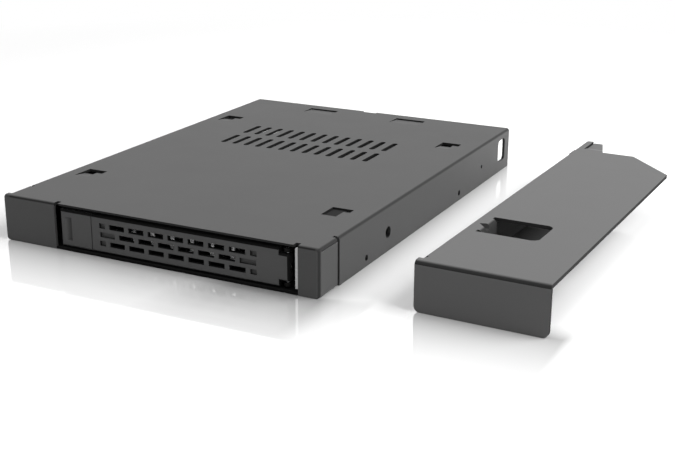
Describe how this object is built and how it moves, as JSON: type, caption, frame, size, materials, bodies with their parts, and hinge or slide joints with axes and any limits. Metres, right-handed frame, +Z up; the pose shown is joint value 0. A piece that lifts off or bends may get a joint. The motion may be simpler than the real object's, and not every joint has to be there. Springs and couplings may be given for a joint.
{
  "type": "hard drive mobile rack",
  "caption": "Slim-bay mobile rack: folded steel cage with a pull-out tray for a small hard drive, vented swing door, release button, rear connector board and a side filler bracket.",
  "frame": {"origin": "centre of the cage's underside, under the base pan", "axes": "+X to the right seen from the door, +Y from the door to the rear connector, +Z up"},
  "size_m": [0.1544, 0.134, 0.0127],
  "materials": {
    "coated_steel": "fine matt powder coat",
    "bracket_steel": "fine matt powder coat",
    "bare_steel": "zinc-plated sheet",
    "zinc_fasteners": "bright zinc plate",
    "dark_plastic": "fine spark-eroded texture",
    "spring_wire": "drawn wire",
    "light_guide": "frosted translucent",
    "lamp_body": "moulded lamp body",
    "circuit_board": "solder mask over glass laminate",
    "connector_plastic": "moulded black",
    "contact_metal": "gold flash"
  },
  "bodies": {
    "cage": {"top_cover": "coated_steel", "base_pan": "coated_steel", "left_rail": "bare_steel", "right_rail": "bare_steel", "rail_screws": "zinc_fasteners", "light_pipe": "light_guide", "status_lamp": "lamp_body", "backplane_board": "circuit_board", "board_screws": "zinc_fasteners", "drive_socket": "connector_plastic", "drive_contacts": "contact_metal", "host_plug": "connector_plastic", "host_contacts": "contact_metal", "clinch_nut": "zinc_fasteners", "side_bracket": "bracket_steel"},
    "tray": {"drive_tray": "bare_steel", "tray_front": "dark_plastic", "hinge_pin": "zinc_fasteners", "door_spring": "spring_wire"},
    "door": {"door": "dark_plastic"},
    "button": {"release_button": "dark_plastic", "button_spring": "spring_wire"}
  },
  "joints": [
    {"name": "tray_slide", "type": "slide", "parent": "cage", "child": "tray", "axis": [0, -1, 0], "range_m": [0, 0.11]},
    {"name": "door_hinge", "type": "hinge", "parent": "tray", "child": "door", "pos_m": [0.038, -0.06464, 0.006], "axis": [0, 0, 1], "range_deg": [0, 90]},
    {"name": "button_press", "type": "slide", "parent": "tray", "child": "button", "axis": [0, 1, 0], "range_m": [0, 0.0012], "stiffness_N_per_m": 200, "deforming": ["button_spring"]}
  ]
}
